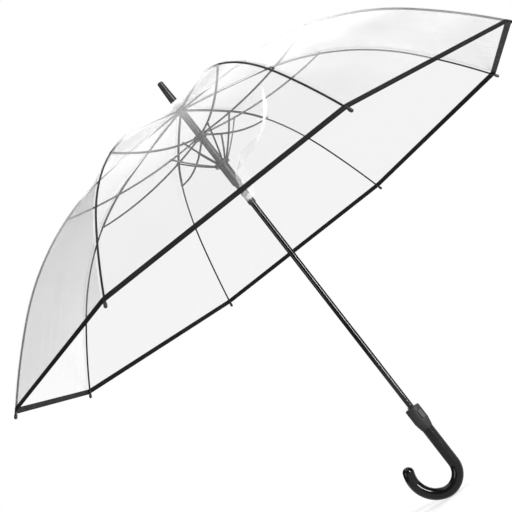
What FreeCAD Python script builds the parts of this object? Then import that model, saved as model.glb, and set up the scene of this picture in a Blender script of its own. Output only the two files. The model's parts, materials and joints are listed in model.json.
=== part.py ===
import FreeCAD, Part
import math
import os

from FreeCAD import Vector

# An eight-rib clear umbrella with a hooked handle, shown open. The shaft lies on +Z with
# the ferrule up, the origin is in the middle of the straight grip, and the hook curls
# towards -X. A rib and its stretcher and strut are drawn in the X-Z plane, with X as the
# distance from the shaft and Y across the rib, and are then turned to each rib's angle.
# All lengths are millimetres and all angles degrees.

# Ribs: the curve from the notch to the tip is three arcs that meet without a corner
rib_count = 8
first_rib_angle = 22.5
notch_height = 687.0  # rib pivots above the middle of the grip
notch_pivot_radius = 8.0
shoulder_radius = 165.0  # where the flat crown ends
knee_radius = 262.0  # where the stretcher meets the rib
haunch_radius = 405.0  # where the steep skirt begins
rib_end_radius = 504.6
root_slope = 4.5  # below level
shoulder_slope = 9.5
haunch_slope = 45.0
end_slope = 52.9
rib_width = 3.2
rib_depth = 2.8
rib_wall = 0.6
rod_diameter = 3.0  # the outer rib
knee_neck = 9.0
tip_diameter = 5.2
tip_neck_diameter = 3.8  # where the tip passes under the hem
tip_overlap = 9.5  # of the tip on its rod
tip_reach = 4.7  # of the tip past its rod

# Sliders
slider_drop = 54.0  # stretcher pivots below the rib pivots, open
slider_pivot_radius = 10.0
runner_drop = 111.0  # strut pivots below the rib pivots, open
runner_pivot_radius = 12.0
sleeve_length = 85.0  # the whole runner below its pivots
skirt_length = 29.0  # of the notch, below its pivots
hub_half_height = 4.0
tube_wall = 1.3  # of notch skirt, slider and runner sleeve
barrel_wall = 1.9
slider_tail_entry = 4.0  # of the slider's tail in the runner's barrel, open

# Stretchers and struts
stretcher_width = 2.4
stretcher_depth = 2.6
stretcher_wall = 0.5
stretcher_bow = 10.5
strut_joint_radius = 66.0  # where the strut meets the stretcher, open
strut_width = 2.4
strut_depth = 2.2
strut_bow = 1.5
pin_diameter = 1.4
pin_wall = 1.0  # of an eye around its pin
pin_grip = 1.0  # of a pin in each cheek of its slot

# The closed umbrella
closed_knee_radius = 18.0
closed_end_radius = 14.0

# Shaft, ferrule and crown
shaft_diameter = 10.0
shaft_wall = 0.7
shaft_bottom = 2.0
shaft_above_notch = 34.0
ferrule_base_diameter = 16.4
ferrule_base_height = 3.0
ferrule_body_diameter = 13.6
ferrule_top_diameter = 10.4
ferrule_length = 46.0
ferrule_rounding = 1.5
ferrule_rim = 1.2  # straight part of its base
washer_diameter = 19.0
washer_thickness = 1.0
rosette_diameter = 47.0
rosette_thickness = 0.4

# Canopy
film_thickness = 0.25
film_gap = 0.9  # between a rib and the film
crown_lift = 12.0  # the film is drawn up to the ferrule
crown_lift_radius = 18.0
hem_setback = 3.0  # from the rod's end back to the hem
hem_width = 9.0
hem_skin = 0.35
strap_width = 14.0
strap_thickness = 0.5
# The strap's middle line, each point as (above the hem, from the middle of its panel)
strap_route = [
    (-11.0, 30.0),
    (34.0, 36.8),
    (52.0, 42.0),
    (62.0, 57.0),
    (67.0, 75.5),
    (80.0, 87.6),
    (99.0, 99.6),
    (140.0, 115.0),
]
snap_diameter = 9.0
snap_height = 1.2

# Handle
collar_top = 73.0
collar_bottom = 33.0
collar_taper_top = 47.0
collar_diameter = 25.4
collar_foot_diameter = 20.0
collar_chamfer = 1.0
grip_diameter = 19.2
spigot_diameter = 16.0
spigot_length = 10.0
bend_top = -33.0
bend_radius = 32.0
bend_turn = 110.0
hook_radius = 43.0
hook_turn = 203.0  # both arcs together

# Button and latch
button_angle = -55.0
button_height = 57.0
button_width = 7.0
button_length = 16.0
button_proud = 1.8
button_travel = 1.5
button_rounding = 0.8
button_wall = 2.4  # of the collar outside the button's flange
button_flange = 1.1
flange_lip = 1.2
pocket_floor_radius = 6.2
button_spring_radius = 1.6
button_spring_wire = 0.4
button_spring_turns = 2.5
latch_thickness = 1.5
latch_height = 67.5
latch_wall = 1.6  # of the collar outside the latch, pressed
tooth_height = 8.0
tooth_width = 5.0
leg_overlap = 1.0

# Opening spring inside the shaft
spring_wire = 1.0
spring_turns = 40
plug_length = 12.0
drive_pin_diameter = 1.8

# Clearances
press_gap = 0.02  # parts fixed to each other
run_gap = 0.06  # a pin in an eye, and a sleeve on the shaft
side_gap = 0.4  # beside a part that swings or slides
plug_gap = 0.2  # the plug and the spring in the shaft

panel_half_angle = 180.0 / rib_count
panel_cos = math.cos(math.radians(panel_half_angle))
shaft_radius = shaft_diameter / 2
pin_radius = pin_diameter / 2
eye_radius = pin_radius + pin_wall
slider_height = notch_height - slider_drop
runner_height = notch_height - runner_drop
stretcher_side = -(rib_width / 2 + side_gap + stretcher_width / 2)
tube_radius = shaft_radius + run_gap + tube_wall
tail_radius = tube_radius - side_gap / 2
barrel_bore = tail_radius + side_gap
barrel_radius = barrel_bore + barrel_wall
slot_gap = side_gap / 2
y_axis = Vector(0, 1, 0)
z_axis = Vector(0, 0, 1)


def sine(angle):
    return math.sin(math.radians(angle))


def cosine(angle):
    return math.cos(math.radians(angle))


# A curve is a list of arcs in the X-Z plane, each (centre x, centre z, radius, first
# angle, last angle, side). Angles are from +X towards +Z. Side is 1 where the curve's
# upper side is away from the centre, and -1 where it faces the centre.


def arc_point(arc, angle, offset=0.0):
    x, z, radius, first, last, side = arc
    reach = radius + side * offset
    return Vector(x + reach * cosine(angle), 0, z + reach * sine(angle))


def arc_edge(arc, offset):
    first, last = arc[3], arc[4]
    ends = [arc_point(arc, a, offset) for a in (first, (first + last) / 2, last)]
    return Part.Arc(*ends).toShape()


def sloping_arc(x0, z0, slope0, x1, slope1):
    """The arc from x0 to x1 whose fall below level grows from slope0 to slope1."""
    radius = (x1 - x0) / (sine(slope1) - sine(slope0))
    centre_x = x0 - radius * sine(slope0)
    centre_z = z0 - radius * cosine(slope0)
    return (centre_x, centre_z, radius, 90 - slope0, 90 - slope1, 1)


def bowed_arc(start, end, bow):
    """The arc between two points that bows below the straight line between them."""
    chord = end - start
    radius = chord.Length**2 / (8 * bow) + bow / 2
    up = Vector(-chord.z, 0, chord.x).normalize()
    centre = (start + end) / 2 + up * (radius - bow)
    first = math.degrees(math.atan2(start.z - centre.z, start.x - centre.x))
    last = math.degrees(math.atan2(end.z - centre.z, end.x - centre.x))
    return (centre.x, centre.z, radius, first, last, -1)


def lengthened(arcs, at_start, at_end):
    """The same curve with its ends moved out along it by two lengths."""
    arcs = list(arcs)
    x, z, radius, first, last, side = arcs[0]
    way = math.copysign(1, last - first)
    arcs[0] = (x, z, radius, first - way * math.degrees(at_start / radius), last, side)
    x, z, radius, first, last, side = arcs[-1]
    way = math.copysign(1, last - first)
    arcs[-1] = (x, z, radius, first, last + way * math.degrees(at_end / radius), side)
    return arcs


def end_stretch(arc, inside, outside):
    """The last stretch of an arc, and some way past its end."""
    x, z, radius, first, last, side = arc
    way = math.copysign(1, last - first)
    start = last - way * math.degrees(inside / radius)
    return lengthened([(x, z, radius, start, last, side)], 0, outside)


def strip(arcs, low, high, middle, width):
    """A bar along a curve, from low to high above it and width wide about y = middle."""
    lower = [arc_edge(a, low) for a in arcs]
    upper = [arc_edge(a, high) for a in arcs]
    start = [arc_point(arcs[0], arcs[0][3], h) for h in (low, high)]
    end = [arc_point(arcs[-1], arcs[-1][4], h) for h in (low, high)]
    caps = [Part.makeLine(*start), Part.makeLine(*end)]
    face = Part.Face(Part.Wire(Part.__sortEdges__(lower + upper + caps)))
    face.translate(Vector(0, middle - width / 2, 0))
    return face.extrude(Vector(0, width, 0))


def rod(arcs, radius):
    """A round bar along a curve."""
    pieces = []
    for arc in arcs:
        x, z, reach, first, last, side = arc
        tangent = Vector(-sine(first), 0, cosine(first))
        circle = Part.makeCircle(radius, arc_point(arc, first), tangent)
        disc = Part.Face(Part.Wire([circle]))
        pieces.append(disc.revolve(Vector(x, 0, z), y_axis, first - last))
    return joined(pieces)


def joined(pieces):
    whole = pieces[0]
    if len(pieces) > 1:
        whole = whole.multiFuse(pieces[1:])
    return whole.removeSplitter()


def cross_pin(point, radius, middle, width):
    """A cylinder across a rib at a point of the X-Z plane."""
    return Part.makeCylinder(
        radius, width, Vector(point.x, middle - width / 2, point.z), y_axis
    )


def upright(radius, low, high):
    return Part.makeCylinder(radius, high - low, Vector(0, 0, low))


def block(x_range, y_middle, y_width, z_range):
    corner = Vector(x_range[0], y_middle - y_width / 2, z_range[0])
    return Part.makeBox(
        x_range[1] - x_range[0], y_width, z_range[1] - z_range[0], corner
    )


def turned(shape, angle):
    copy = shape.copy()
    copy.rotate(Vector(0, 0, 0), z_axis, angle)
    return copy


def at_each_rib(shape, start=first_rib_angle):
    return [turned(shape, start + 360.0 / rib_count * k) for k in range(rib_count)]


def coil(radius, wire_radius, length, turns):
    """A spring about +Z, standing on z = 0."""
    height = length - 2 * wire_radius
    path = Part.makeHelix(height / turns, height, radius)
    path.translate(Vector(0, 0, wire_radius))
    ring = Part.Wire([Part.makeCircle(wire_radius, Vector(radius, 0, wire_radius), y_axis)])
    return Part.Wire(path.Edges).makePipeShell([ring], True, True)


# The frame's curves and pivots


def rib_curve():
    root = sloping_arc(
        notch_pivot_radius, notch_height, root_slope, shoulder_radius, shoulder_slope
    )
    shoulder = arc_point(root, root[4])
    middle = sloping_arc(
        shoulder.x, shoulder.z, shoulder_slope, haunch_radius, haunch_slope
    )
    haunch = arc_point(middle, middle[4])
    skirt = sloping_arc(haunch.x, haunch.z, haunch_slope, rib_end_radius, end_slope)
    return [root, middle, skirt]


root_arc, middle_arc, skirt_arc = rib_curve()
knee_angle = math.degrees(math.acos((knee_radius - middle_arc[0]) / middle_arc[2]))
inner_arcs = [root_arc, middle_arc[:4] + (knee_angle, 1)]
outer_arcs = [middle_arc[:3] + (knee_angle, middle_arc[4], 1), skirt_arc]
notch_pivot = Vector(notch_pivot_radius, 0, notch_height)
knee = arc_point(middle_arc, knee_angle)
rib_end = arc_point(skirt_arc, skirt_arc[4])
slider_pivot = Vector(slider_pivot_radius, 0, slider_height)
runner_pivot = Vector(runner_pivot_radius, 0, runner_height)
stretcher_arc = bowed_arc(slider_pivot, knee, stretcher_bow)
strut_joint_angle = -math.degrees(
    math.acos((strut_joint_radius - stretcher_arc[0]) / stretcher_arc[2])
)
strut_joint = arc_point(stretcher_arc, strut_joint_angle)
strut_arc = bowed_arc(runner_pivot, strut_joint, strut_bow)


def fall(vector):
    """How far below level a line in the X-Z plane points, in degrees."""
    return math.degrees(math.atan2(-vector.z, vector.x))


def hanging(pivot, length, end_x):
    """The end of a link that hangs below its pivot, with the end at a given x."""
    return Vector(end_x, 0, pivot.z - math.sqrt(length**2 - (end_x - pivot.x) ** 2))


def standing(end, length, pivot_x):
    """The pivot of a link that stands below its end."""
    return Vector(pivot_x, 0, end.z - math.sqrt(length**2 - (end.x - pivot_x) ** 2))


def closed_frame():
    """Each joint's turn from open to closed, in degrees, and each slider's fall."""
    closed_knee = hanging(notch_pivot, (knee - notch_pivot).Length, closed_knee_radius)
    closed_end = hanging(closed_knee, (rib_end - knee).Length, closed_end_radius)
    inner_turn = fall(closed_knee - notch_pivot) - fall(knee - notch_pivot)
    outer_turn = fall(closed_end - closed_knee) - fall(rib_end - knee) - inner_turn
    stretcher = knee - slider_pivot
    closed_slider = standing(closed_knee, stretcher.Length, slider_pivot_radius)
    stretcher_turn = fall(closed_knee - closed_slider) - fall(stretcher)
    arm = strut_joint - slider_pivot
    turn = FreeCAD.Rotation(y_axis, stretcher_turn)
    closed_joint = closed_slider + turn.multVec(arm)
    strut = strut_joint - runner_pivot
    closed_runner = standing(closed_joint, strut.Length, runner_pivot_radius)
    strut_turn = fall(closed_joint - closed_runner) - fall(strut)
    return {
        "rib_inner": inner_turn,
        "rib_outer": outer_turn,
        "stretcher": stretcher_turn,
        "strut": strut_turn,
        "slider_fall": slider_height - closed_slider.z,
        "runner_fall": runner_height - closed_runner.z,
    }


closed = closed_frame()

# The barrel is the wide upper part of the runner, and holds the slider's tail when closed
tail_travel = slider_tail_entry + closed["slider_fall"] - closed["runner_fall"]
barrel_length = tail_travel + side_gap + tube_wall - hub_half_height / 2
drive_pin_height = runner_height - sleeve_length + 3 * drive_pin_diameter

# Ribs, stretchers and struts


def channel(arcs, width, depth, wall, middle, from_ends):
    """A folded steel channel, open below, with solid ends."""
    bar = strip(arcs, -depth / 2, depth / 2, middle, width)
    hollow = lengthened(arcs, -from_ends, -from_ends)
    inside = strip(hollow, -depth, depth / 2 - wall, middle, width - 2 * wall)
    return bar.cut(inside)


def rib_inner():
    bar = channel(inner_arcs, rib_width, rib_depth, rib_wall, 0, 3 * eye_radius)
    root_eye = cross_pin(notch_pivot, eye_radius, 0, rib_width)
    knee_eye = cross_pin(knee, eye_radius, 0, rib_width)
    fork = end_stretch(inner_arcs[1], knee_neck, 2 * eye_radius)
    fork_slot = strip(fork, -2 * rib_depth, 2 * rib_depth, 0, rib_width - 2 * rib_wall)
    root_hole = cross_pin(notch_pivot, pin_radius + run_gap, 0, 2 * rib_width)
    rivet = cross_pin(knee, pin_radius, 0, rib_width)
    body = joined([bar, root_eye, knee_eye]).cut(fork_slot).cut(root_hole)
    return joined([body, rivet])


def rib_outer():
    thickness = rib_width - 2 * rib_wall - side_gap
    eye = cross_pin(knee, eye_radius, 0, thickness)
    hole = cross_pin(knee, pin_radius + run_gap, 0, rib_width)
    first = outer_arcs[0]
    neck_end = first[3] - math.degrees(knee_neck / first[2])
    half = rod_diameter / 2 - press_gap
    neck = strip([first[:4] + (neck_end, 1)], -half, half, 0, thickness)
    rod_start = (first[3] + neck_end) / 2
    rod_arcs = [first[:3] + (rod_start, first[4], 1), outer_arcs[1]]
    return joined([eye, neck, rod(rod_arcs, rod_diameter / 2)]).cut(hole)


def along_rod_end(shape):
    """Moves a shape made about +Z, with z = 0 at the rod's end, onto the rod's axis."""
    shape.rotate(Vector(0, 0, 0), y_axis, 90 + end_slope)
    shape.translate(rib_end)
    return shape


def rib_tip():
    radius = tip_diameter / 2
    head_start = hem_skin + side_gap - hem_setback
    neck = upright(tip_neck_diameter / 2, -tip_overlap, head_start)
    head = upright(radius, head_start, tip_reach - radius)
    ball = Part.makeSphere(radius, Vector(0, 0, tip_reach - radius))
    tip = along_rod_end(joined([neck, head, ball]))
    reach = end_stretch(skirt_arc, 2 * tip_overlap, slot_gap)
    return tip.cut(rod(reach, rod_diameter / 2 + press_gap))


def stretcher():
    arcs = [stretcher_arc]
    bar = channel(
        arcs,
        stretcher_width,
        stretcher_depth,
        stretcher_wall,
        stretcher_side,
        3 * eye_radius,
    )
    eyes = [
        cross_pin(p, eye_radius, stretcher_side, stretcher_width)
        for p in (slider_pivot, knee)
    ]
    hole = cross_pin(slider_pivot, pin_radius + run_gap, stretcher_side, 2 * rib_width)
    inner_side = stretcher_side + stretcher_width / 2
    stub_length = -inner_side - strut_width / 2 - slot_gap
    stub = cross_pin(strut_joint, pin_radius, inner_side + stub_length / 2, stub_length)
    boss = cross_pin(strut_joint, eye_radius, stretcher_side, stretcher_width)
    return joined([bar, *eyes, boss, stub]).cut(hole)


def strut():
    bar = strip([strut_arc], -strut_depth / 2, strut_depth / 2, 0, strut_width)
    eyes = [
        cross_pin(p, eye_radius, 0, strut_width) for p in (runner_pivot, strut_joint)
    ]
    hole = cross_pin(runner_pivot, pin_radius + run_gap, 0, 2 * strut_width)
    return joined([bar, *eyes]).cut(hole)


# Hubs. A hub is slotted for the eyes of its links, and each has eight pins.


def pin_length(link_width):
    return link_width + 2 * slot_gap + 2 * pin_grip


def slots(pivot, side, link_width, x_range, z_range):
    box = block(x_range, side, link_width + 2 * slot_gap, z_range)
    length = pin_length(link_width) + 2 * press_gap
    hole = cross_pin(pivot, pin_radius + press_gap, side, length)
    return at_each_rib(box) + at_each_rib(hole)


def pins(pivot, side, link_width):
    pin = cross_pin(pivot, pin_radius, side, pin_length(link_width))
    return Part.makeCompound(at_each_rib(pin))


def top_notch():
    head_radius = notch_pivot_radius + eye_radius
    roof = notch_height + eye_radius + side_gap
    top = film_height(tube_radius / panel_cos) - press_gap
    solid = joined(
        [
            upright(tube_radius, notch_height - skirt_length, top),
            upright(head_radius, notch_height - hub_half_height, notch_height + hub_half_height),
        ]
    )
    low = notch_height - 2 * hub_half_height
    cuts = slots(
        notch_pivot,
        0,
        rib_width,
        (notch_pivot_radius - eye_radius - slot_gap, 2 * head_radius),
        (low, roof),
    )
    bore = upright(shaft_radius + press_gap, 0, 2 * notch_height)
    return solid.cut([*cuts, bore])


def upper_slider():
    hub_radius = slider_pivot_radius + eye_radius
    low, high = slider_height - hub_half_height, slider_height + hub_half_height
    top = notch_height - skirt_length - side_gap
    tail_bottom = runner_height + hub_half_height / 2 - slider_tail_entry
    solid = joined(
        [
            upright(tube_radius, low, top),
            upright(tail_radius, tail_bottom, slider_height),
            upright(hub_radius, low, high),
        ]
    )
    cuts = slots(
        slider_pivot,
        stretcher_side,
        stretcher_width,
        (slider_pivot_radius - eye_radius - slot_gap, 2 * hub_radius),
        (slider_height - eye_radius - side_gap, 2 * notch_height),
    )
    bore = upright(shaft_radius + run_gap, 0, 2 * notch_height)
    return solid.cut([*cuts, bore])


def runner():
    hub_radius = runner_pivot_radius + eye_radius
    bottom = runner_height - sleeve_length
    shoulder = runner_height - barrel_length
    hub_top = runner_height + hub_half_height / 2
    step = barrel_radius - tube_radius
    solid = joined(
        [
            upright(tube_radius, bottom, shoulder),
            Part.makeCone(tube_radius, barrel_radius, step * 2, Vector(0, 0, shoulder - step * 2)),
            upright(barrel_radius, shoulder, hub_top),
            upright(hub_radius, runner_height - hub_half_height, hub_top),
        ]
    )
    cuts = slots(
        runner_pivot,
        0,
        strut_width,
        (runner_pivot_radius - eye_radius - slot_gap, 2 * hub_radius),
        (runner_height - eye_radius - side_gap, 2 * runner_height),
    )
    bore = upright(shaft_radius + run_gap, 0, 2 * notch_height)
    counterbore = upright(barrel_bore, shoulder + tube_wall, 2 * notch_height)
    pin_hole = drive_pin_shape(drive_pin_diameter / 2 + press_gap, shaft_radius, tube_radius)
    return solid.cut([*cuts, bore, counterbore, pin_hole])


# Shaft, ferrule, opening spring


def drive_pin_shape(radius, inner, outer):
    """The pin on the back of the runner that reaches into the shaft."""
    foot = Vector(0, inner, drive_pin_height)
    return Part.makeCylinder(radius, outer - inner, foot, y_axis)


def shaft_tube():
    top = notch_height + shaft_above_notch
    inner = shaft_radius - shaft_wall
    tube = upright(shaft_radius, shaft_bottom, top).cut(upright(inner, 0, top + 1))
    half = drive_pin_diameter / 2 + side_gap
    length = closed["runner_fall"] + 4 * half
    foot = Vector(-half, 0, drive_pin_height + 2 * half - length)
    return tube.cut(Part.makeBox(2 * half, shaft_diameter, length, foot))


def spring_plug():
    radius = shaft_radius - shaft_wall - plug_gap
    half = plug_length / 2
    plug = upright(radius, drive_pin_height - half, drive_pin_height + half)
    pin = drive_pin_shape(drive_pin_diameter / 2, 0, tube_radius)
    return joined([plug, pin])


def main_spring():
    radius = shaft_radius - shaft_wall - plug_gap - spring_wire / 2
    length = drive_pin_height - plug_length / 2 - shaft_bottom
    spring = coil(radius, spring_wire / 2, length, spring_turns)
    spring.translate(Vector(0, 0, shaft_bottom))
    return spring


def ferrule():
    base = washer_top()
    body_bottom = base + ferrule_base_height
    top = base + ferrule_length
    outline = [
        Vector(0, 0, base),
        Vector(ferrule_base_diameter / 2, 0, base),
        Vector(ferrule_base_diameter / 2, 0, base + ferrule_rim),
        Vector(ferrule_body_diameter / 2, 0, body_bottom),
        Vector(ferrule_top_diameter / 2, 0, top - ferrule_rounding),
        Vector(ferrule_top_diameter / 2 - ferrule_rounding, 0, top),
        Vector(0, 0, top),
    ]
    face = Part.Face(Part.makePolygon([*outline, outline[0]]))
    solid = face.revolve(Vector(0, 0, 0), z_axis, 360)
    bore = upright(shaft_radius + press_gap, 0, notch_height + shaft_above_notch + press_gap)
    return solid.cut(bore)


def ferrule_washer():
    low = film_height(film_hole_radius(), film_gap + film_thickness + rosette_thickness)
    low = low + 3 * press_gap
    disc = upright(washer_diameter / 2, low, low + washer_thickness)
    return disc.cut(upright(shaft_radius + press_gap, 0, 2 * notch_height))


def washer_top():
    low = film_height(film_hole_radius(), film_gap + film_thickness + rosette_thickness)
    return low + washer_thickness + 4 * press_gap


# Canopy: each panel is straight from rib to rib, and curved from crown to hem


def film_hole_radius():
    return (shaft_radius + side_gap) / panel_cos


def rib_line_point(radius, offset):
    """A point over a rib, at a height above the rib's middle line, with the crown's lift."""
    arcs = [a for a in (root_arc, middle_arc, skirt_arc) if a[0] + a[2] * cosine(a[4]) >= radius]
    x, z, reach = (arcs or [skirt_arc])[0][:3]
    angle = math.degrees(math.acos((radius - x) / reach))
    lift = crown_lift * math.exp(-((radius / crown_lift_radius) ** 2))
    raised = reach + rod_diameter / 2 + offset
    return Vector(x + raised * cosine(angle), 0, z + raised * sine(angle) + lift)


def film_height(radius, offset=film_gap):
    return rib_line_point(radius, offset).z


def hem_radius(back):
    """The rib curve's radius a length back from the rod's end."""
    angle = skirt_arc[4] + math.degrees(back / skirt_arc[2])
    return arc_point(skirt_arc, angle).x


def rib_line(start, end, offset, count, scale):
    """A smooth curve over a rib. Points are closer near the crown, where it bends most."""
    radii = [start + (end - start) * (k / count) ** 1.6 for k in range(count + 1)]
    points = [rib_line_point(r, offset) for r in radii]
    curve = Part.BSplineCurve()
    curve.interpolate([Vector(p.x * scale, 0, p.z) for p in points])
    return curve.toShape()


def skin_face(start, end, low, high, count, scale):
    """The face between two heights over a rib's line, in the X-Z plane."""
    lower = rib_line(start, end, low, count, scale)
    upper = rib_line(start, end, high, count, scale)
    caps = [
        Part.makeLine(lower.Vertexes[k].Point, upper.Vertexes[k].Point) for k in (0, 1)
    ]
    return Part.Face(Part.Wire(Part.__sortEdges__([lower, upper, *caps])))


def panel(start, end, low, high, count):
    """One panel about +X, from the rib on its left to the rib on its right."""
    face = skin_face(start, end, low, high, count, panel_cos)
    reach = rib_end_radius + tip_reach + tip_diameter
    half = reach * math.tan(math.radians(panel_half_angle))
    face.translate(Vector(0, -half, 0))
    sheet = face.extrude(Vector(0, 2 * half, 0))
    corners = [Vector(0, 0, 0), Vector(reach, -half, 0), Vector(reach, half, 0)]
    wedge = Part.Face(Part.makePolygon([*corners, corners[0]]))
    return sheet.common(wedge.extrude(Vector(0, 0, 2 * notch_height)))


def film_panel():
    high = film_gap + film_thickness
    return panel(film_hole_radius(), hem_radius(hem_setback), film_gap, high, 40)


def canopy_film():
    return joined(at_each_rib(film_panel(), 0))


def hem_tape():
    low, high = film_gap - hem_skin, film_gap + film_thickness + hem_skin
    start = hem_radius(hem_setback + hem_width)
    tape = panel(start, hem_radius(hem_setback - hem_skin), low, high, 6)
    return joined(at_each_rib(tape.cut(film_panel()), 0))


def canopy_rosette():
    low = film_gap + film_thickness + press_gap
    face = skin_face(
        film_hole_radius(), rosette_diameter / 2, low, low + rosette_thickness, 8, 1
    )
    return face.revolve(Vector(0, 0, 0), z_axis, 360)


def strap_place(above_hem, side):
    """A point of the strap's middle line, from above, with its panel's middle on +X."""
    point = rib_line_point(hem_radius(hem_setback + above_hem), film_gap)
    return Vector(point.x * panel_cos, side, 0)


def under_film(start, end, low, high):
    """A wide layer under the panel about +X, between two heights over the rib's line."""
    face = skin_face(start, end, low, high, 12, panel_cos)
    face.translate(Vector(0, -rib_end_radius / 2, 0))
    return face.extrude(Vector(0, rib_end_radius, 0))


def tie_strap():
    """The strap lies under the panel at -Y, and its snap end hangs past the hem."""
    high = film_gap - side_gap
    low = high - strap_thickness
    start = hem_radius(hem_setback + strap_route[-1][0] + strap_width)
    end = hem_radius(hem_setback + strap_route[0][0] - strap_width)
    middle_line = Part.makePolygon([strap_place(*place) for place in strap_route])
    outline = middle_line.makeOffset2D(strap_width / 2, 0, True)
    band = under_film(start, end, low, high)
    band = band.common(outline.extrude(Vector(0, 0, 2 * notch_height)))
    stud = Part.makeCylinder(snap_diameter / 2, 2 * notch_height, strap_place(*strap_route[0]))
    snap = under_film(start, end, low - snap_height, low).common(stud)
    return turned(joined([band, snap]), -90)


# Handle


def hook_arcs():
    """The hook's two arcs, seen in the X-Z plane, the second one wider."""
    x, z = -bend_radius, bend_top
    bend = (x, z, bend_radius, 0, -bend_turn, 1)
    shift = bend_radius - hook_radius
    centre_x = x + shift * cosine(-bend_turn)
    centre_z = z + shift * sine(-bend_turn)
    return [bend, (centre_x, centre_z, hook_radius, -bend_turn, -hook_turn, 1)]


def handle():
    radius = grip_diameter / 2
    arcs = hook_arcs()
    tip = Part.makeSphere(radius, arc_point(arcs[1], arcs[1][4]))
    grip = upright(radius, bend_top, collar_bottom)
    spigot = upright(spigot_diameter / 2, bend_top, collar_bottom + spigot_length)
    solid = joined([grip, spigot, rod(arcs, radius), tip])
    bore = upright(shaft_radius + press_gap, shaft_bottom, 2 * collar_top)
    return solid.cut(bore)


def facing_button(shape):
    return turned(shape, button_angle)


def stadium(width, length, x_range):
    """A rounded block that faces +X, at the button's height."""
    radius = width / 2
    straight = length / 2 - radius
    depth = x_range[1] - x_range[0]
    ends = [
        Part.makeCylinder(
            radius, depth, Vector(x_range[0], 0, button_height + s * straight), Vector(1, 0, 0)
        )
        for s in (-1, 1)
    ]
    middle = (button_height - straight, button_height + straight)
    return joined([block(x_range, 0, width, middle), *ends])


latch_radius = collar_diameter / 2 - latch_wall - button_travel - side_gap
window_radius = collar_diameter / 2 - button_wall
flange_outer = window_radius - slot_gap
pocket_width = button_width + 2 * flange_lip + 2 * slot_gap
pocket_length = button_length + 2 * flange_lip + 2 * slot_gap
latch_top = latch_height + latch_thickness
tooth_inner = tube_radius + side_gap
tooth_outer = latch_radius


def latch_room():
    """The room in the collar for the latch plate, its leg, its tooth and their travel."""
    grown = latch_radius + side_gap
    heights = (latch_height - slot_gap, latch_top + slot_gap)
    room = upright(grown, *heights)
    room = joined([room, room.translated(Vector(-button_travel, 0, 0))])
    leg = block((pocket_floor_radius, window_radius), 0, tooth_width + 2 * slot_gap,
                (button_height, latch_top + slot_gap))
    x_range = (-tooth_outer - button_travel - slot_gap, -tooth_inner + slot_gap)
    tooth = block(x_range, 0, tooth_width + 2 * slot_gap, (latch_height, collar_top + 1))
    return joined([room, leg, tooth])


def handle_collar():
    outline = [
        Vector(0, 0, collar_bottom),
        Vector(collar_foot_diameter / 2, 0, collar_bottom),
        Vector(collar_diameter / 2, 0, collar_taper_top),
        Vector(collar_diameter / 2, 0, collar_top - collar_chamfer),
        Vector(collar_diameter / 2 - collar_chamfer, 0, collar_top),
        Vector(0, 0, collar_top),
    ]
    face = Part.Face(Part.makePolygon([*outline, outline[0]]))
    solid = face.revolve(Vector(0, 0, 0), z_axis, 360)
    window = stadium(button_width + 2 * slot_gap, button_length + 2 * slot_gap,
                     (pocket_floor_radius, collar_diameter))
    pocket = stadium(pocket_width, pocket_length, (pocket_floor_radius, window_radius))
    cuts = [
        upright(shaft_radius + press_gap, 0, 2 * collar_top),
        upright(spigot_diameter / 2 + press_gap, 0, collar_bottom + spigot_length + press_gap),
        facing_button(joined([window, pocket])),
        facing_button(latch_room()),
    ]
    return solid.cut(cuts)


def push_button():
    outer = collar_diameter / 2 + button_proud
    face = stadium(button_width, button_length, (flange_outer - button_flange, outer))
    edges = [e for e in face.Edges if all(v.X > outer - 0.01 for v in e.Vertexes)]
    face = face.makeFillet(button_rounding, edges)
    flange = stadium(
        button_width + 2 * flange_lip,
        button_length + 2 * flange_lip,
        (flange_outer - button_flange, flange_outer),
    )
    return facing_button(joined([face, flange]))


def latch_plate():
    window = shaft_radius + side_gap
    plate = upright(latch_radius, latch_height, latch_top)
    hole = joined(
        [
            upright(window, 0, 2 * collar_top),
            upright(window, 0, 2 * collar_top).translated(Vector(button_travel, 0, 0)),
        ]
    )
    leg_bottom = button_height + button_length / 2 + flange_lip + press_gap
    leg = block((latch_radius - leg_overlap, flange_outer), 0, tooth_width, (leg_bottom, latch_top))
    tooth = block((-tooth_outer, -tooth_inner), 0, tooth_width,
                  (latch_height, latch_height + tooth_height))
    trim = upright(latch_radius, 0, 2 * collar_top)
    return facing_button(joined([plate.cut(hole), leg, tooth.common(trim)]))


def button_spring():
    length = flange_outer - button_flange - pocket_floor_radius - 2 * press_gap
    spring = coil(button_spring_radius, button_spring_wire / 2, length, button_spring_turns)
    spring.rotate(Vector(0, 0, 0), y_axis, 90)
    spring.translate(Vector(pocket_floor_radius + press_gap, 0, button_height))
    return facing_button(spring)


single_parts = {
    "shaft_tube": shaft_tube,
    "ferrule": ferrule,
    "ferrule_washer": ferrule_washer,
    "canopy_rosette": canopy_rosette,
    "canopy_film": canopy_film,
    "hem_tape": hem_tape,
    "tie_strap": tie_strap,
    "top_notch": top_notch,
    "upper_slider": upper_slider,
    "runner": runner,
    "spring_plug": spring_plug,
    "main_spring": main_spring,
    "handle": handle,
    "handle_collar": handle_collar,
    "push_button": push_button,
    "latch_plate": latch_plate,
    "button_spring": button_spring,
}
rib_parts = {
    "rib_inner": rib_inner,
    "rib_outer": rib_outer,
    "rib_tip": rib_tip,
    "stretcher": stretcher,
    "strut": strut,
}
pin_groups = {
    "notch_pins": (notch_pivot, 0, rib_width),
    "slider_pins": (slider_pivot, stretcher_side, stretcher_width),
    "runner_pins": (runner_pivot, 0, strut_width),
}


def save(name, shape):
    print(f"{name}: {shape.Volume:.1f} cubic mm, {len(shape.Solids)} solid, valid {shape.isValid()}")
    shape.exportStep(f"parts/{name}.step")


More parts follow.
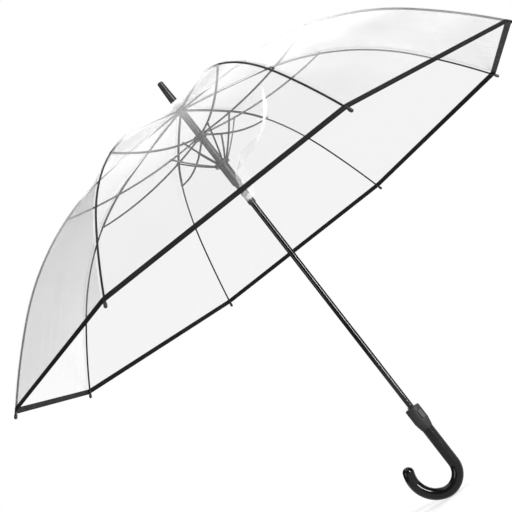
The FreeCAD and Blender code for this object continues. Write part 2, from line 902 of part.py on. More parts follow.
os.makedirs("parts", exist_ok=True)
for name, make in single_parts.items():
    save(name, make())
for name, place in pin_groups.items():
    save(name, pins(*place))
for name, make in rib_parts.items():
    for k, copy in enumerate(at_each_rib(make())):
        save(f"{name}_{k + 1}", copy)
print({name: round(value, 5) for name, value in closed.items()})
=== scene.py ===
import json
import math

import bmesh
import bpy
from mathutils import Matrix, Quaternion, Vector, noise


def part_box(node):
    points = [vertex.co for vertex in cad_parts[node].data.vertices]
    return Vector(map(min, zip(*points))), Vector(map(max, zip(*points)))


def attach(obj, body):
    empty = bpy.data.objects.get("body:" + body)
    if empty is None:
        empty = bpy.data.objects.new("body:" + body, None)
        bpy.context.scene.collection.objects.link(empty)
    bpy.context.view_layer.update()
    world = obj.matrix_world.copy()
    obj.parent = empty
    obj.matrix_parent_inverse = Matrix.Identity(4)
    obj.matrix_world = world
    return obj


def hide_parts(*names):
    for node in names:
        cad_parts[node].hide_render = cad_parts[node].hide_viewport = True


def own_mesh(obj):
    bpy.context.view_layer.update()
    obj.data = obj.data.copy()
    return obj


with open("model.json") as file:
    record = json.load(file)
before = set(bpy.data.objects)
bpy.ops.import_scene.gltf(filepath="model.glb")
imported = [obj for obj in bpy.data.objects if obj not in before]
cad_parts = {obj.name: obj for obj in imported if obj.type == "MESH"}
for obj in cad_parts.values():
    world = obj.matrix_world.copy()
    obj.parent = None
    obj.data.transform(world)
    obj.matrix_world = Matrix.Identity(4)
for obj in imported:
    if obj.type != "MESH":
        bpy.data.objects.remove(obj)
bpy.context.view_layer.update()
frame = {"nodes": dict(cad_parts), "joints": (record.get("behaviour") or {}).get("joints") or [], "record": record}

print("frame loaded:", len(frame["nodes"]), "nodes")

joints = {joint["name"]: joint for joint in frame["joints"]}
ribFold = Vector(joints["rib_fold_1"]["pos_m"])
ribBend = Vector(joints["rib_bend_1"]["pos_m"])
notchHeight = ribFold.z
pivotRadius = math.hypot(ribFold.x, ribFold.y)
kneeRadius = math.hypot(ribBend.x, ribBend.y)

# the line of a rib, as it stands open: three arcs without a corner
ribShape = {
    "count": 8,
    "firstAngle": 22.5,
    "shoulder": 0.165,
    "haunch": 0.405,
    "end": 0.5046,
    "rootSlope": 4.5,  # degrees below level
    "shoulderSlope": 9.5,
    "haunchSlope": 45.0,
    "endSlope": 52.9,
    "rodRadius": 0.0015,
}
halfPanel = math.radians(180 / ribShape["count"])


def slopingArc(x0, z0, slope0, x1, slope1):
    s0, s1 = math.radians(slope0), math.radians(slope1)
    radius = (x1 - x0) / (math.sin(s1) - math.sin(s0))
    centreX, centreZ = x0 - radius * math.sin(s0), z0 - radius * math.cos(s0)
    return centreX, centreZ, radius, centreX + radius * math.sin(s1), centreZ + radius * math.cos(s1)


def ribArcs():
    r = ribShape
    crown = slopingArc(pivotRadius, notchHeight, r["rootSlope"], r["shoulder"], r["shoulderSlope"])
    side = slopingArc(crown[3], crown[4], r["shoulderSlope"], r["haunch"], r["haunchSlope"])
    skirt = slopingArc(side[3], side[4], r["haunchSlope"], r["end"], r["endSlope"])
    return [crown, side, skirt]


arcs = ribArcs()


def ribAngle(radius):
    # the arc over a distance from the shaft, and the rib's normal there as an angle above level
    arc = next((a for a in arcs if radius <= a[3] + 1e-9), arcs[-1])
    return arc, math.acos((radius - arc[0]) / arc[2])


def hemRadius(back):
    # how far from the shaft a rib is, a length back from its end
    arc, angle = ribAngle(ribShape["end"])
    return arc[0] + arc[2] * math.cos(angle + back / arc[2])



def gridMesh(name, columns, rows, place, thickness=0.0, centred=False):
    # a sheet from a flat grid. place(across, along) gives a point and its UV, both from 0 to 1
    bm = bmesh.new()
    bmesh.ops.create_grid(bm, x_segments=columns, y_segments=rows, size=0.5)
    uvLayer = bm.loops.layers.uv.new("UVMap")
    spots = {v: place(v.co.x + 0.5, v.co.y + 0.5) for v in bm.verts}
    for face in bm.faces:
        for loop in face.loops:
            loop[uvLayer].uv = spots[loop.vert][1]
    for v, spot in spots.items():
        v.co = spot[0]
    for edge in bm.edges:
        edge.smooth = not edge.is_boundary
    bm.normal_update()
    upward = sum(face.normal.z * face.calc_area() for face in bm.faces)
    if upward < 0:
        bmesh.ops.reverse_faces(bm, faces=bm.faces)
    mesh = bpy.data.meshes.new(name)
    bm.to_mesh(mesh)
    bm.free()
    piece = bpy.data.objects.new(name, mesh)
    bpy.context.scene.collection.objects.link(piece)
    mesh.shade_smooth()
    if thickness:
        wall = piece.modifiers.new("wall", "SOLIDIFY")
        wall.thickness = thickness
        wall.offset = 0.0 if centred else 1.0
    return piece


def paint(piece, *names):
    for name in names:
        piece.data.materials.append(materials[name])



def newMaterial(name):
    material = bpy.data.materials.new(name)
    material.use_nodes = True
    tree = material.node_tree
    tree.nodes.clear()
    output = tree.nodes.new("ShaderNodeOutputMaterial")
    return material, tree, output


def addNode(tree, kind, sockets=None, **settings):
    node = tree.nodes.new(kind)
    for key, value in settings.items():
        setattr(node, key, value)
    for key, value in (sockets or {}).items():
        if hasattr(value, "is_output"):
            tree.links.new(value, node.inputs[key])
        else:
            node.inputs[key].default_value = value
    return node


def objectPoints(tree):
    return addNode(tree, "ShaderNodeTexCoord").outputs["Object"]


def speckle(tree, points, scale, detail=3.0, roughness=0.5):
    sockets = {"Vector": points, "Scale": scale, "Detail": detail, "Roughness": roughness}
    return addNode(tree, "ShaderNodeTexNoise", sockets).outputs["Fac"]


def remap(tree, value, low, high, newLow, newHigh):
    sockets = {0: value, 1: low, 2: high, 3: newLow, 4: newHigh}
    return addNode(tree, "ShaderNodeMapRange", sockets, clamp=True).outputs[0]


def blendColours(tree, amount, first, second):
    node = addNode(tree, "ShaderNodeMix", {0: amount}, data_type="RGBA")
    node.inputs["A"].default_value = (*first, 1)
    node.inputs["B"].default_value = (*second, 1)
    return node.outputs["Result"]


def paintedMaterial(name, look):
    # a solid finish: a base colour that varies a little, fine grain, and faint handling marks
    material, tree, output = newMaterial(name)
    points = objectPoints(tree)
    cloudy = speckle(tree, points, look["cloudScale"], 4.0)
    colour = blendColours(tree, remap(tree, cloudy, 0.35, 0.65, 0, 1), look["dark"], look["light"])
    smear = speckle(tree, points, look["smearScale"], 5.0, 0.6)
    roughness = remap(tree, smear, 0.3, 0.7, *look["roughness"])
    grain = speckle(tree, points, look["grainScale"], 2.0)
    bump = addNode(
        tree,
        "ShaderNodeBump",
        {"Strength": look["grain"], "Distance": look["grainDepth"], "Height": grain},
    )
    sockets = {
        "Base Color": colour,
        "Roughness": roughness,
        "Normal": bump.outputs["Normal"],
        "Metallic": look.get("metal", 0.0),
        "Specular IOR Level": look.get("shine", 0.5),
    }
    shader = addNode(tree, "ShaderNodeBsdfPrincipled", sockets)
    tree.links.new(shader.outputs[0], output.inputs["Surface"])
    return material


solidLooks = {
    "shaft_black": dict(
        dark=(0.002, 0.002, 0.0023), light=(0.004, 0.004, 0.0045), roughness=(0.08, 0.12),
        cloudScale=18, smearScale=60, grainScale=900, grain=0.02, grainDepth=0.0001,
        shine=0.35,
    ),
    "rib_black": dict(
        dark=(0.008, 0.008, 0.009), light=(0.020, 0.020, 0.021), roughness=(0.3, 0.48),
        cloudScale=45, smearScale=120, grainScale=1500, grain=0.12, grainDepth=0.0002,
        shine=0.25,
    ),
    "rib_rod": dict(
        dark=(0.005, 0.005, 0.006), light=(0.010, 0.010, 0.011), roughness=(0.26, 0.4),
        cloudScale=60, smearScale=140, grainScale=1200, grain=0.08, grainDepth=0.0002,
        shine=0.2,
    ),
    "black_plastic": dict(
        dark=(0.010, 0.010, 0.011), light=(0.020, 0.020, 0.021), roughness=(0.24, 0.38),
        cloudScale=70, smearScale=150, grainScale=1400, grain=0.1, grainDepth=0.0002,
        shine=0.3,
    ),
    "hub_plastic": dict(
        dark=(0.016, 0.016, 0.017), light=(0.030, 0.030, 0.032), roughness=(0.38, 0.55),
        cloudScale=60, smearScale=140, grainScale=1500, grain=0.15, grainDepth=0.0002,
        shine=0.3,
    ),
    "handle_gloss": dict(
        dark=(0.002, 0.002, 0.0023), light=(0.004, 0.004, 0.0045), roughness=(0.1, 0.16),
        cloudScale=25, smearScale=70, grainScale=700, grain=0.03, grainDepth=0.0002,
        shine=0.25,
    ),
    "handle_matte": dict(
        dark=(0.010, 0.0105, 0.011), light=(0.018, 0.0185, 0.020), roughness=(0.5, 0.66),
        cloudScale=40, smearScale=90, grainScale=1800, grain=0.3, grainDepth=0.0003,
        shine=0.3,
    ),
    "button_plastic": dict(
        dark=(0.028, 0.029, 0.031), light=(0.042, 0.043, 0.046), roughness=(0.4, 0.52),
        cloudScale=80, smearScale=160, grainScale=1800, grain=0.18, grainDepth=0.0002,
        shine=0.3,
    ),
    "pin_steel": dict(
        dark=(0.30, 0.30, 0.31), light=(0.48, 0.48, 0.49), roughness=(0.25, 0.42), metal=1.0,
        cloudScale=200, smearScale=400, grainScale=2500, grain=0.1, grainDepth=0.0001,
    ),
    "spring_steel": dict(
        dark=(0.24, 0.24, 0.25), light=(0.40, 0.40, 0.41), roughness=(0.28, 0.45), metal=1.0,
        cloudScale=200, smearScale=400, grainScale=2500, grain=0.1, grainDepth=0.0001,
    ),
}


def clearMaterial(name, look):
    # clear film: it lets light through, and turns glossy where it is seen edge on; the white mixed in there is
    # partly milky haze and partly painted reflection, and round the crown a painted highlight is added
    material, tree, output = newMaterial(name)
    points = objectPoints(tree)
    facing = addNode(tree, "ShaderNodeLayerWeight", {"Blend": 0.5}).outputs["Facing"]
    steep = addNode(tree, "ShaderNodeMath", {0: facing, 1: 5.0}, operation="POWER").outputs[0]
    mirror = remap(tree, steep, 0, 1, look["mirror"], look["edgeMirror"])
    wisps = speckle(tree, points, look["wispScale"], 4.0, 0.55)
    # white mixed in by viewing angle: a little milky haze facing on, rising to a painted reflection of white
    # surroundings where the film is seen edge on
    hazeAndSheen = addNode(tree, "ShaderNodeMath", {0: facing, 1: look["hazeAndSheenPower"]}, operation="POWER")
    hazeAndSheen = remap(tree, hazeAndSheen.outputs[0], 0, 1, look["hazeAndSheen"], look["edgeHazeAndSheen"])
    # painted highlight: white mixed into the film around the shaft's top, strongest at the axis and gone at
    # crownReach from it
    if look.get("crownPaintedHighlight"):
        flat = addNode(tree, "ShaderNodeVectorMath", {0: points, 1: (1, 1, 0)}, operation="MULTIPLY")
        flat = addNode(tree, "ShaderNodeVectorMath", {0: flat.outputs[0]}, operation="LENGTH")
        crown = remap(tree, flat.outputs["Value"], 0, look["crownReach"], 1, 0)
        crownHighlightFalloff = addNode(tree, "ShaderNodeMath", {0: crown, 1: 1.5}, operation="POWER").outputs[0]
        hazeAndSheen = addNode(
            tree, "ShaderNodeMath", {0: crownHighlightFalloff, 1: look["crownPaintedHighlight"], 2: hazeAndSheen}, operation="MULTIPLY_ADD"
        ).outputs[0]
    wisps = remap(tree, wisps, 0.3, 0.7, 0.6, 1.4)
    hazeAndSheen = addNode(tree, "ShaderNodeMath", {0: hazeAndSheen, 1: wisps}, operation="MULTIPLY").outputs[0]
    if look.get("seam"):
        uv = addNode(tree, "ShaderNodeTexCoord").outputs["UV"]
        across = addNode(tree, "ShaderNodeSeparateXYZ", {0: uv}).outputs["X"]
        across = addNode(tree, "ShaderNodeMath", {0: across}, operation="ABSOLUTE").outputs[0]
        free = remap(tree, across, look["seam"] * 0.8, look["seam"], look["weld"], 1)
        hazeAndSheen = addNode(tree, "ShaderNodeMath", {0: hazeAndSheen, 1: free}, operation="MULTIPLY").outputs[0]
        mirror = addNode(tree, "ShaderNodeMath", {0: mirror, 1: free}, operation="MULTIPLY").outputs[0]
    waves = speckle(tree, points, look["waveScale"], 2.0)
    bump = addNode(
        tree, "ShaderNodeBump", {"Strength": look["wave"], "Distance": 0.001, "Height": waves}
    )
    through = addNode(tree, "ShaderNodeBsdfTransparent", {"Color": (*look["tint"], 1)})
    white = addNode(tree, "ShaderNodeBsdfDiffuse", {"Color": (*look["white"], 1)})
    white.inputs["Roughness"].default_value = 0.6
    gloss = addNode(tree, "ShaderNodeBsdfGlossy", {"Roughness": look["roughness"]})
    tree.links.new(bump.outputs["Normal"], gloss.inputs["Normal"])
    sheer = addNode(tree, "ShaderNodeMixShader", {0: hazeAndSheen, 1: through.outputs[0], 2: white.outputs[0]})
    shiny = addNode(tree, "ShaderNodeMixShader", {0: mirror, 1: sheer.outputs[0], 2: gloss.outputs[0]})
    tree.links.new(shiny.outputs[0], output.inputs["Surface"])
    return material


clearLooks = {
    "clear_film": dict(
        tint=(0.950, 0.950, 0.951), white=(0.95, 0.95, 0.95), mirror=0.02, edgeMirror=0.4, roughness=0.2,
        # edge white: partly haze, partly painted reflection; crown white: painted highlight
        hazeAndSheen=0.006, edgeHazeAndSheen=0.42, hazeAndSheenPower=5.0, wispScale=7, waveScale=9, wave=0.2,
        seam=0.006, weld=0.0, crownPaintedHighlight=0.3, crownReach=0.085,
    ),
    "clear_strap": dict(
        tint=(0.93, 0.93, 0.93), white=(0.9, 0.9, 0.9), mirror=0.05, edgeMirror=0.8, roughness=0.12,
        hazeAndSheen=0.06, edgeHazeAndSheen=0.5, hazeAndSheenPower=2.5, wispScale=30, waveScale=25, wave=0.4,
    ),
    "clear_plastic": dict(
        tint=(0.88, 0.89, 0.90), white=(0.9, 0.9, 0.9), mirror=0.06, edgeMirror=0.8, roughness=0.1,
        hazeAndSheen=0.35, edgeHazeAndSheen=0.7, hazeAndSheenPower=2.0, wispScale=60, waveScale=60, wave=0.2,
    ),
}


def joinMaterial():
    # the cut edges between two sectors, which meet as one sheet when it is open
    material, tree, output = newMaterial("film_join")
    grain = speckle(tree, objectPoints(tree), 40)
    veil = remap(tree, grain, 0.3, 0.7, 0.0, 0.02)
    through = addNode(tree, "ShaderNodeBsdfTransparent", {"Color": (0.99, 0.99, 0.99, 1)})
    white = addNode(tree, "ShaderNodeBsdfDiffuse", {"Color": (0.9, 0.9, 0.9, 1)})
    mixed = addNode(tree, "ShaderNodeMixShader", {0: veil, 1: through.outputs[0], 2: white.outputs[0]})
    tree.links.new(mixed.outputs[0], output.inputs["Surface"])
    return material


def hemMaterial():
    # black vinyl binding with two rows of stitches
    material, tree, output = newMaterial("hem_black")
    uv = addNode(tree, "ShaderNodeTexCoord").outputs["UV"]
    parts = addNode(tree, "ShaderNodeSeparateXYZ", {0: uv})
    along, across = parts.outputs["X"], parts.outputs["Y"]
    pitch = addNode(tree, "ShaderNodeMath", {0: along, 1: 0.0032}, operation="PINGPONG").outputs[0]
    thread = remap(tree, pitch, 0.0005, 0.0008, 0, 1)
    rows = []
    for row in hem["stitchRows"]:
        off = addNode(tree, "ShaderNodeMath", {0: across, 1: row}, operation="SUBTRACT").outputs[0]
        off = addNode(tree, "ShaderNodeMath", {0: off}, operation="ABSOLUTE").outputs[0]
        rows.append(remap(tree, off, 0.0001, 0.0004, 1, 0))
    rows = addNode(tree, "ShaderNodeMath", {0: rows[0], 1: rows[1]}, operation="ADD").outputs[0]
    stitch = addNode(tree, "ShaderNodeMath", {0: rows, 1: thread}, operation="MULTIPLY").outputs[0]
    points = objectPoints(tree)
    leather = speckle(tree, points, 900, 3.0)
    height = addNode(tree, "ShaderNodeMath", {0: stitch, 1: 3.0, 2: leather}, operation="MULTIPLY_ADD")
    bump = addNode(
        tree, "ShaderNodeBump", {"Strength": 0.4, "Distance": 0.0002, "Height": height.outputs[0]}
    )
    cloudy = remap(tree, speckle(tree, points, 40, 4.0), 0.35, 0.65, 0, 1)
    colour = blendColours(tree, cloudy, (0.003, 0.003, 0.0033), (0.006, 0.006, 0.0066))
    roughness = remap(tree, speckle(tree, points, 90, 4.0), 0.3, 0.7, 0.5, 0.65)
    sockets = {"Base Color": colour, "Roughness": roughness, "Normal": bump.outputs["Normal"]}
    sockets["Specular IOR Level"] = 0.1
    shader = addNode(tree, "ShaderNodeBsdfPrincipled", sockets)
    tree.links.new(shader.outputs[0], output.inputs["Surface"])
    return material


film = {
    "gap": 0.0009,  # between a rib's rod and the film
    "thickness": 0.00025,
    "lift": 0.012,  # drawn up to the ferrule at the crown
    "liftRadius": 0.018,
    "capRadius": 0.014,  # the small part that stays with the shaft
    "sag": 0.006,  # of a panel's middle, inwards
    "slack": 0.008,  # further, near the shoulder
    "slackAt": 0.24,
    "slackReach": 0.14,
    "ripple": 0.0009,
    "rippleScale": 11.0,
    "pucker": 0.0002,  # along the hem
    "puckerPitch": 0.024,
    "puckerReach": 0.06,
    "puckerFade": 0.01,  # flat again at the hem's top
    "keep": 0.06,  # of its width, folded
}
hem = {
    "setback": 0.003,  # of the hem from a rib's end
    "width": 0.009,
    "skin": 0.00035,
    "stitchRows": (0.0018, 0.0072),
    "rounding": 0.0003,
}
filmHole = (frame["nodes"]["shaft_tube"].dimensions.x / 2 + 0.0004) / math.cos(halfPanel)
hemTop = hemRadius(hem["setback"] + hem["width"])
hemEdge = hemRadius(hem["setback"])


def ribLinePoint(radius, offset):
    # a point over a rib as (distance from the shaft, height, normal angle)
    arc, angle = ribAngle(radius)
    reach = arc[2] + ribShape["rodRadius"] + offset
    lift = film["lift"] * math.exp(-((radius / film["liftRadius"]) ** 2))
    return arc[0] + reach * math.cos(angle), arc[1] + reach * math.sin(angle) + lift, angle


def sagAt(radius, side, spot):
    # how far the film hangs inside the straight line between two ribs
    along = (radius - filmHole) / (hemTop - filmHole)
    if along >= 1 or along <= 0:
        return 0.0
    across = abs(side) * (2 - abs(side)) * min(1.0, along * 12)
    hang = film["sag"] * math.sin(math.pi * along) ** 1.3
    hang += film["slack"] * math.exp(-(((along - film["slackAt"]) / film["slackReach"]) ** 2))
    fade = min(1.0, along * 6) * min(1.0, (1 - along) * 12)
    loose = film["ripple"] * noise.noise(spot * film["rippleScale"]) * fade
    back = hemTop - radius
    near = math.exp(-back / film["puckerReach"]) * min(1.0, back / film["puckerFade"])
    turn = math.atan2(spot.y, spot.x)
    pitches = turn * hemEdge / film["puckerPitch"]
    waves = math.sin(pitches * 2 * math.pi) + 0.6 * math.sin(pitches * 3.3 + 1.7)
    return across * (hang + loose + film["pucker"] * near * waves)


def canopyPoint(rib, radius, side, offset):
    # a point of the canopy by rib, distance out, and side: 0 on the rib, 1 or -1 between ribs
    x, z, angle = ribLinePoint(radius, offset)
    sine, cosine = math.sin(halfPanel), math.cos(halfPanel)
    flat = Vector((x * (1 - abs(side) * sine**2), x * side * sine * cosine, z))
    turn = math.radians(ribShape["firstAngle"]) + rib * 2 * halfPanel
    panelTurn = turn + math.copysign(halfPanel, side)
    spot = Matrix.Rotation(turn, 3, "Z") @ flat
    out = Vector((math.cos(panelTurn), math.sin(panelTurn), 0)) * math.cos(angle)
    out.z = math.sin(angle)
    return spot - out * sagAt(radius, side, spot)


def arcLength(start, end, steps=60):
    points = [ribLinePoint(start + (end - start) * k / steps, 0) for k in range(steps + 1)]
    return sum(math.dist(a[:2], b[:2]) for a, b in zip(points, points[1:]))


def filmSector(name, rib, start, end, columns, rows):
    def place(across, along):
        side = across * 2 - 1
        radius = start + (end - start) * along
        uv = (side * radius * math.sin(halfPanel), along)
        return canopyPoint(rib, radius, side, film["gap"]), uv

    return gridMesh(name, columns, rows, place, film["thickness"])


def declareSheet(piece, start, end):
    # measures the length of a sector's flat cut between two distances from the shaft, and does nothing more with
    # it
    length = arcLength(start, end)


def makeFilm(rib):
    n = rib + 1
    inner = filmSector(f"film_crown_{n}", rib, film["capRadius"], kneeRadius, 28, 30)
    outer = filmSector(f"film_skirt_{n}", rib, kneeRadius, hemEdge, 48, 44)
    for piece, body, start, end in (
        (inner, f"rib_inner_{n}", film["capRadius"], kneeRadius),
        (outer, f"rib_outer_{n}", kneeRadius, hemEdge),
    ):
        paint(piece, "clear_film", "film_join")
        piece.modifiers["wall"].material_offset_rim = 1
        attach(piece, body)
        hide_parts("canopy_film")
        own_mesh(piece)
        declareSheet(piece, start, end)


def makeHem(rib):
    n = rib + 1
    offset = film["gap"] + film["thickness"] / 2
    thickness = film["thickness"] + 2 * hem["skin"]
    end = hemRadius(hem["setback"] - hem["skin"])
    width = hem["width"] + hem["skin"]

    def place(across, along):
        side = across * 2 - 1
        radius = hemTop + (end - hemTop) * along
        return canopyPoint(rib, radius, side, offset), (side * radius * math.sin(halfPanel), along * width)

    piece = gridMesh(f"hem_{n}", 49, 6, place, thickness, centred=True)
    rounded = piece.modifiers.new("rounded", "BEVEL")
    rounded.width = hem["rounding"]
    rounded.segments = 2
    rounded.limit_method = "ANGLE"
    rounded.angle_limit = math.radians(60)
    paint(piece, "hem_black")
    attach(piece, f"rib_outer_{n}")
    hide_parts("hem_tape")
    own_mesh(piece)


def makeCap():
    # the film's own middle, which is held under the ferrule
    def place(across, along):
        turn = across * 2 * math.pi
        radius = filmHole + (film["capRadius"] - filmHole) * along
        x, z, _ = ribLinePoint(radius, film["gap"])
        return Vector((x * math.cos(turn), x * math.sin(turn), z)), (across, along)

    piece = gridMesh("film_cap", 65, 8, place)
    bm = bmesh.new()
    bm.from_mesh(piece.data)
    bmesh.ops.remove_doubles(bm, verts=bm.verts, dist=1e-6)
    bm.to_mesh(piece.data)
    bm.free()
    piece.data.shade_smooth()
    wall = piece.modifiers.new("wall", "SOLIDIFY")
    wall.thickness = film["thickness"]
    wall.offset = 1.0
    paint(piece, "clear_film")
    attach(piece, "shaft")
    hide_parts("canopy_film")


strap = {
    "rib": 6,  # counted from 0; the strap hangs in the half panel before it
    "width": 0.014,
    "thickness": 0.0005,
    "under": 0.0009,  # the film's inner side to the strap's outer side
    "fromEnd": 0.003,  # the hem, from the rib's end
    # middle line: above the hem, from the middle of its panel, turn of the band, its droop
    "route": [
        (-0.018, 0.0290, 0, 0.000),
        (-0.006, 0.0305, 0, 0.000),
        (0.008, 0.0328, 0, 0.000),
        (0.034, 0.0368, 5, 0.000),
        (0.047, 0.0388, 40, 0.003),
        (0.0575, 0.0455, 80, 0.005),
        (0.0635, 0.0570, 84, 0.005),
        (0.0675, 0.0730, 70, 0.005),
        (0.0800, 0.0876, 66, 0.005),
        (0.0990, 0.0996, 72, 0.005),
        (0.1220, 0.1095, 84, 0.005),
        (0.1440, 0.1165, 70, 0.004),
    ],
    "snapRadius": 0.0045,
    "snapHeight": 0.0012,
    # its rim from top to bottom, as shares of the radius and the height
    "snapOutline": [(0.55, 0.0), (0.62, 0.25), (0.9, 0.3), (1.0, 0.55), (0.97, 0.9), (0.9, 1.0)],
}


def panelPoint(back, lateral, depth):
    # a point on the inside of the strap's half panel, a length back from the rib's end
    radius = hemRadius(back)
    side = -(1 - lateral / (radius * math.sin(halfPanel) * math.cos(halfPanel)))
    return canopyPoint(strap["rib"], radius, side, -depth)


def strapLevel():
    # level, along the hem of the strap's panel
    turn = math.radians(ribShape["firstAngle"]) + (2 * strap["rib"] - 1) * halfPanel
    return Vector((-math.sin(turn), math.cos(turn), 0))


def routeSpot(along):
    # Catmull-Rom through the route
    route = strap["route"]
    spot = along * (len(route) - 1)
    k = min(int(spot), len(route) - 2)
    t = spot - k
    a, b, c, d = (Vector(route[min(max(j, 0), len(route) - 1)]) for j in (k - 1, k, k + 1, k + 2))
    return b + (c - a) * (t / 2) + (a * 2 - b * 5 + c * 4 - d) * (t * t / 2) + (
        (b - c) * 3 + d - a
    ) * (t**3 / 2)


def makeStrap():
    def lineSpot(along):
        above, lateral, turn, droop = routeSpot(along)
        depth = strap["under"] - film["gap"] + droop
        return panelPoint(strap["fromEnd"] + above, lateral, depth), math.radians(turn)

    def place(across, along):
        spot, turn = lineSpot(along)
        before, after = lineSpot(max(along - 0.01, 0))[0], lineSpot(min(along + 0.01, 1))[0]
        run = (after - before).normalized()
        above, lateral = routeSpot(along)[:2]
        up = panelPoint(strap["fromEnd"] + above + 0.002, lateral, 0)
        down = panelPoint(strap["fromEnd"] + above - 0.002, lateral, 0)
        outward = strapLevel().cross(up - down).normalized()
        sideways = outward.cross(run).normalized()
        width = sideways * math.cos(turn) - outward * math.sin(turn)
        half = (across - 0.5) * strap["width"]
        return spot + width * half, (across * strap["width"], along * 0.18)

    piece = gridMesh("tie_band", 10, 90, place, strap["thickness"], centred=True)
    paint(piece, "clear_strap")
    rideStrap(piece)
    flat = sum((lineSpot(k / 40)[0] - lineSpot((k - 1) / 40)[0]).length for k in range(1, 41))


def makeSnap():
    # a pressed stud, spun about its own axis and set on the strap's hanging end
    bm = bmesh.new()
    radius, height = strap["snapRadius"], strap["snapHeight"]
    ring = [bm.verts.new((x * radius, 0, -z * height)) for x, z in strap["snapOutline"]]
    for a, b in zip(ring, ring[1:]):
        bm.edges.new((a, b))
    bmesh.ops.spin(
        bm, geom=bm.verts[:] + bm.edges[:], cent=(0, 0, 0), axis=(0, 0, 1), dvec=(0, 0, 0),
        angle=2 * math.pi, steps=40, use_merge=True,
    )
    bmesh.ops.holes_fill(bm, edges=[e for e in bm.edges if e.is_boundary], sides=0)
    bmesh.ops.recalc_face_normals(bm, faces=bm.faces)
    above, lateral = strap["route"][0][:2]
    middle = panelPoint(strap["fromEnd"] + above + strap["snapRadius"] * 1.6, lateral + 0.001, 0)
    up = panelPoint(strap["fromEnd"] + above + 0.012, lateral, 0) - middle
    outward = strapLevel().cross(up).normalized()
    turn = outward.to_track_quat("Z", "Y").to_matrix().to_4x4()
    below = strap["thickness"] * 1.5
    bmesh.ops.transform(bm, matrix=Matrix.Translation(middle - outward * below) @ turn, verts=bm.verts)
    mesh = bpy.data.meshes.new("snap")
    bm.to_mesh(mesh)
    bm.free()
    mesh.shade_smooth()
    piece = bpy.data.objects.new("snap", mesh)
    bpy.context.scene.collection.objects.link(piece)
    paint(piece, "clear_plastic")
    rideStrap(piece)


def rideStrap(piece):
    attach(piece, f"rib_outer_{strap['rib'] + 1}")
    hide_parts("tie_strap")
    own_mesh(piece)


cameraView = {
    "place": (0.11807, -1.83993, 0.18989),
    "aim": (-0.04888, -0.00230, 0.41878),
    "roll": -37.63,
    "lens": 80.0,
}
lights = {
    "strip": dict(place=(2.3, -2.3, 0.9), size=(0.5, 2.0), power=200),
    "fill": dict(place=(-2.8, -2.0, 1.3), size=(1.2, 1.6), power=30),
    "top": dict(place=(0.2, 0.2, 3.4), size=(3.2, 3.2), power=70),
    "back": dict(place=(0.9, 3.6, 1.7), size=(4.0, 3.0), power=75),
}
lampAim = Vector((0, 0, 0.4))


def makeCamera():
    camera = bpy.data.objects.new("camera", bpy.data.cameras.new("camera"))
    bpy.context.scene.collection.objects.link(camera)
    camera.location = cameraView["place"]
    towards = Vector(cameraView["aim"]) - Vector(cameraView["place"])
    turn = towards.to_track_quat("-Z", "Y")
    roll = Quaternion((0, 0, 1), math.radians(cameraView["roll"]))
    camera.rotation_mode = "QUATERNION"
    camera.rotation_quaternion = turn @ roll
    camera.data.lens = cameraView["lens"]
    camera.data.clip_end = 100
    bpy.context.scene.camera = camera


def makeLights():
    for name, lamp in lights.items():
        data = bpy.data.lights.new(name, "AREA")
        data.shape = "RECTANGLE"
        data.size, data.size_y = lamp["size"]
        data.energy = lamp["power"]
        lightObject = bpy.data.objects.new(name, data)
        bpy.context.scene.collection.objects.link(lightObject)
        lightObject.location = lamp["place"]
        lightObject.visible_camera = False
        towards = lampAim - Vector(lamp["place"])
        lightObject.rotation_mode = "QUATERNION"
        lightObject.rotation_quaternion = towards.to_track_quat("-Z", "Y")


def makeWorld():
    # white where it is seen directly, and dim in reflections, so that black stays black
    world = bpy.data.worlds.new("room")
    bpy.context.scene.world = world
    world.use_nodes = True
    tree = world.node_tree
    tree.nodes.clear()
    output = tree.nodes.new("ShaderNodeOutputWorld")
    direction = addNode(tree, "ShaderNodeTexCoord").outputs["Generated"]
    height = addNode(tree, "ShaderNodeSeparateXYZ", {0: direction}).outputs["Z"]
    level = remap(tree, height, 0.0, 0.8, 0.22, 0.12)
    room = addNode(tree, "ShaderNodeBackground", {"Strength": level})
    seen = addNode(tree, "ShaderNodeBackground", {"Strength": 1.0})
    for node in (room, seen):
        node.inputs["Color"].default_value = (1, 1, 1, 1)
    ray = addNode(tree, "ShaderNodeLightPath").outputs["Is Camera Ray"]
    mix = addNode(tree, "ShaderNodeMixShader", {0: ray, 1: room.outputs[0], 2: seen.outputs[0]})
    tree.links.new(mix.outputs[0], output.inputs["Surface"])


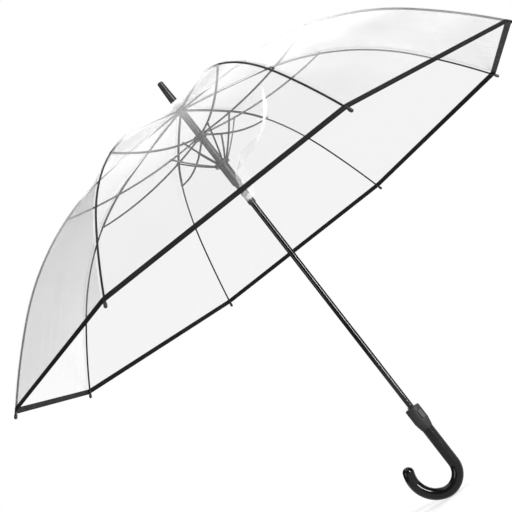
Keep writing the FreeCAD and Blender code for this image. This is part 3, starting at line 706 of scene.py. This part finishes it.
floorLook = {
    "radius": 14,
    "below": 0.0005,  # the handle
    "tone": (0.92, 0.95),
    "fadeFrom": 0.15,  # from the shaft outwards it turns into the white of the room
    "fadeTo": 1.4,
    "leastGlow": 0.55,
}


def makeFloor():
    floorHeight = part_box("handle")[0].z - floorLook["below"]
    bm = bmesh.new()
    bmesh.ops.create_circle(bm, cap_ends=True, segments=96, radius=floorLook["radius"])
    bmesh.ops.translate(bm, verts=bm.verts, vec=(0, 0, floorHeight))
    mesh = bpy.data.meshes.new("floor")
    bm.to_mesh(mesh)
    bm.free()
    floor = bpy.data.objects.new("floor", mesh)
    bpy.context.scene.collection.objects.link(floor)
    material, tree, output = newMaterial("floor")
    tone = remap(tree, speckle(tree, objectPoints(tree), 1.5), 0.3, 0.7, *floorLook["tone"])
    sockets = {"Color": addNode(tree, "ShaderNodeCombineColor", {0: tone, 1: tone, 2: tone}).outputs[0]}
    matt = addNode(tree, "ShaderNodeBsdfDiffuse", sockets)
    away = addNode(tree, "ShaderNodeVectorMath", {0: objectPoints(tree)}, operation="LENGTH")
    reach = (floorLook["fadeFrom"], floorLook["fadeTo"])
    fade = remap(tree, away.outputs["Value"], *reach, floorLook["leastGlow"], 1.0)
    glow = addNode(tree, "ShaderNodeEmission", {"Strength": 1.0})
    floorMix = addNode(tree, "ShaderNodeMixShader", {0: fade, 1: matt.outputs[0], 2: glow.outputs[0]})
    tree.links.new(floorMix.outputs[0], output.inputs["Surface"])
    mesh.materials.append(material)


materials = {name: paintedMaterial(name, look) for name, look in solidLooks.items()}
materials.update({name: clearMaterial(name, look) for name, look in clearLooks.items()})
materials["hem_black"] = hemMaterial()
materials["film_join"] = joinMaterial()
print("materials made:", len(materials))

for part in frame["record"]["subparts"]:
    node = frame["nodes"][part["node"]]
    node.data.materials.clear()
    node.data.materials.append(materials[part["material_slot"]])
print("frame parts painted")

makeCamera()
makeLights()
makeWorld()
makeFloor()
print("stage made")

for rib in range(ribShape["count"]):
    makeFilm(rib)
    makeHem(rib)
makeCap()
makeSnap()
makeStrap()
print("canopy made")

settings = bpy.context.scene.view_settings
settings.view_transform = "Standard"
settings.look = "None"
bpy.context.scene.cycles.transparent_max_bounces = 48
